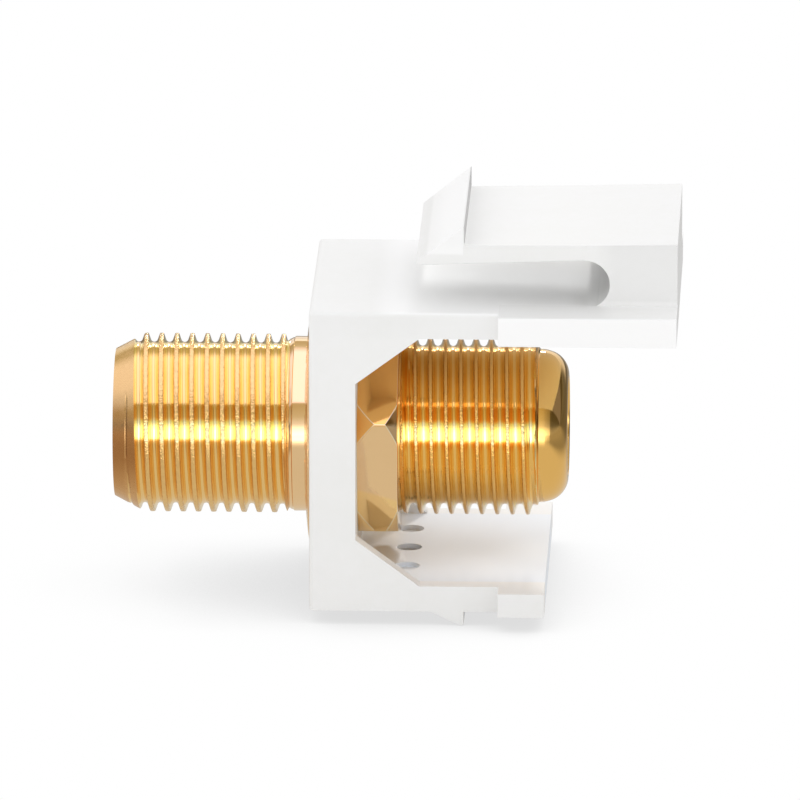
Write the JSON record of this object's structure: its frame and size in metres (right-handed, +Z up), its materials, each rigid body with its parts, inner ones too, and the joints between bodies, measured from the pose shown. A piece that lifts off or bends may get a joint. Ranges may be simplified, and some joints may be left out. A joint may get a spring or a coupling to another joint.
{
  "type": "keystone f connector",
  "caption": "Snap-in keystone module with a flexing latch that carries a gold-plated, threaded, double-ended F coaxial coupler through its front wall.",
  "frame": {"origin": "centre of the housing's front face, on the barrel's axis", "axes": "-X out of the front port towards the user, +X towards the cable side, +Z up to the latch, +Y across the module"},
  "size_m": [0.0294, 0.0176, 0.0211],
  "materials": {
    "white_plastic": "fine satin moulding",
    "gold_plated_brass": "bright gold plate over turned brass",
    "insulator_plastic": "smooth moulding",
    "contact_bronze": "plated spring strip"
  },
  "bodies": {
    "module": {"housing": "white_plastic", "barrel": "gold_plated_brass", "retaining_ring": "gold_plated_brass", "front_insulator": "insulator_plastic", "rear_insulator": "insulator_plastic", "centre_contact": "contact_bronze"},
    "latch": {"latch_arm": "white_plastic"}
  },
  "joints": [
    {"name": "latch_flex", "type": "hinge", "parent": "module", "child": "latch", "pos_m": [0.01422, 0, 0.01055], "axis": [0, -1, 0], "range_deg": [0, 11], "stiffness_Nm_per_rad": 0.08}
  ]
}
